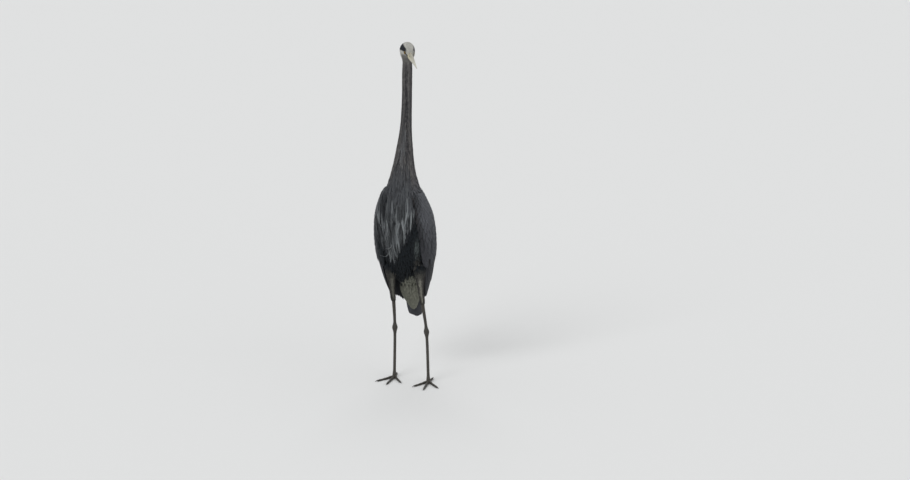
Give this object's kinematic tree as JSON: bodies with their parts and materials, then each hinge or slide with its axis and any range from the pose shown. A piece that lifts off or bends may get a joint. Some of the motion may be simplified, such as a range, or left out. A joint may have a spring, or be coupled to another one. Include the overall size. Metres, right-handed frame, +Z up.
{
  "type": "great blue heron",
  "caption": "Life-size standing great blue heron with its neck raised, wings folded and head turned a little to its left.",
  "frame": {"origin": "on the floor, under the middle of the outline seen from above", "axes": "+Z up, the bird faces -Y and its left side is at +X"},
  "size_m": [0.2582, 0.3058, 1.2463],
  "materials": {
    "crown": "white and black feathers of the head",
    "neck": "vinous grey feathers with dark and pale streaks on the throat line",
    "mantle": "slate-blue wing coverts",
    "belly": "slate and blackish contour feathers of the trunk",
    "flight": "dark slate flight and tail feathers",
    "plume": "pale grey lance-shaped plumes",
    "undertail": "soft off-white feathers",
    "thigh": "buff and rufous feathers",
    "crest": "black plumes",
    "bill": "horn, dull yellow with a dusky ridge",
    "iris": "glossy yellow iris with a black pupil",
    "leg": "scaly brown-grey skin",
    "claw": "dark horn"
  },
  "bodies": {
    "root": {"head": "crown", "neck_upper": "neck", "neck_middle": "neck", "neck_lower": "neck", "trunk": "belly", "bill_upper": "bill", "bill_lower": "bill", "eye_left": "iris", "eye_right": "iris", "crest_plume_left": "crest", "crest_plume_right": "crest", "wing_coverts_left": "mantle", "wing_coverts_right": "mantle", "flight_feathers_left": "flight", "flight_feathers_right": "flight", "scapular_plumes_left": "plume", "scapular_plumes_right": "plume", "breast_plumes": "plume", "thigh_left": "thigh", "thigh_right": "thigh", "tibia_left": "leg", "tibia_right": "leg", "tarsus_left": "leg", "tarsus_right": "leg", "foot_left": "leg", "foot_right": "leg", "tail": "flight", "undertail_coverts": "undertail", "claw_inner_left": "claw", "claw_middle_left": "claw", "claw_outer_left": "claw", "claw_hind_left": "claw", "claw_inner_right": "claw", "claw_middle_right": "claw", "claw_outer_right": "claw", "claw_hind_right": "claw"}
  },
  "joints": []
}
